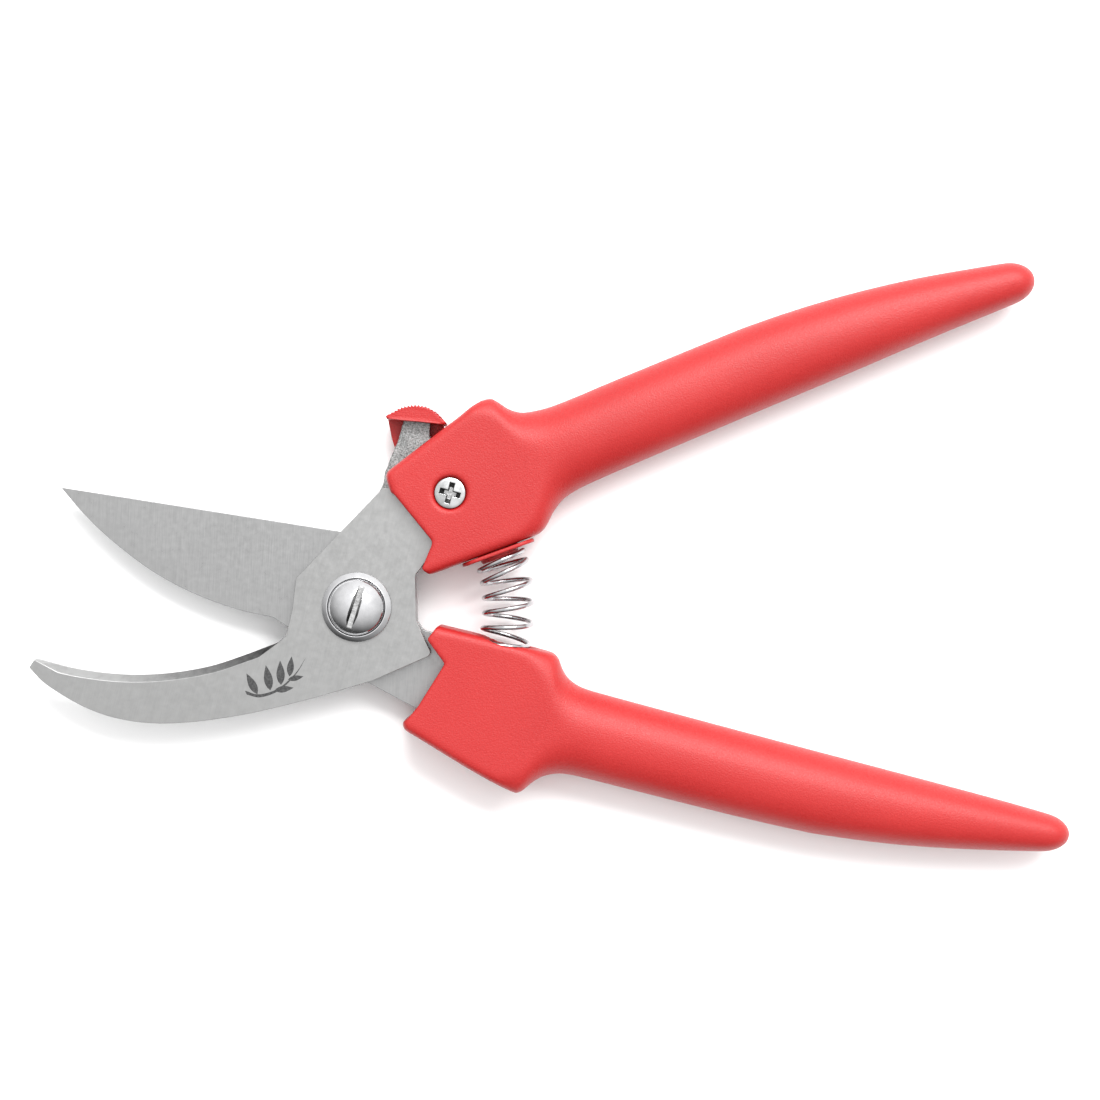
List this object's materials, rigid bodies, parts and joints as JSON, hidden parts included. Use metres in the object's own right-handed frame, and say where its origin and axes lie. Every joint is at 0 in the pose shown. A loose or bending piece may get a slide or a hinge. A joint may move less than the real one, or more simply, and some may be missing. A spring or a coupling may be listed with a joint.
{
  "type": "pruning shears",
  "caption": "Open bypass pruning shears with a hooked counter blade, moulded grips, return spring and side lock lever.",
  "frame": {"origin": "centre of the pivot bolt's flat end, in the plane the shears rest on, on the pivot's axis", "axes": "+Z along the pivot towards the bolt's head, +X from the pivot to the grips, +Y to the upper handle"},
  "size_m": [0.1956, 0.1112, 0.0136],
  "materials": {
    "hook_steel": "satin ground steel",
    "cutter_steel": "fine ground steel",
    "handle_plastic": "fine grained matt",
    "pivot_chrome": "bright plated",
    "fastener_steel": "zinc plated",
    "ring_plastic": "smooth nylon",
    "spring_steel": "bright drawn wire",
    "lever_steel": "stamped satin steel"
  },
  "bodies": {
    "hook_side": {"hook_blade": "hook_steel", "upper_handle": "handle_plastic", "pivot_bolt": "pivot_chrome", "pivot_washer": "pivot_chrome", "pivot_back_washer": "fastener_steel", "pivot_nut": "fastener_steel", "nut_locking_ring": "ring_plastic", "return_spring": "spring_steel", "spring_seat": "handle_plastic", "lock_screw": "fastener_steel", "lock_washer": "spring_steel", "lock_nut": "fastener_steel"},
    "cutter_side": {"cutting_blade": "cutter_steel", "lower_handle": "handle_plastic"},
    "lock": {"lock_lever": "lever_steel", "lock_thumb_cap": "handle_plastic"}
  },
  "joints": [
    {"name": "pivot", "type": "hinge", "parent": "hook_side", "child": "cutter_side", "pos_m": [0, 0, 0.00675], "axis": [0, 0, 1], "range_deg": [0, 31], "stiffness_Nm_per_rad": 1.2, "springref_deg": -8.19, "deforming": ["return_spring"]},
    {"name": "lock_pivot", "type": "hinge", "parent": "hook_side", "child": "lock", "pos_m": [0.0176, 0.0213, 0.0057], "axis": [0, 0, 1], "range_deg": [0, 14]}
  ]
}
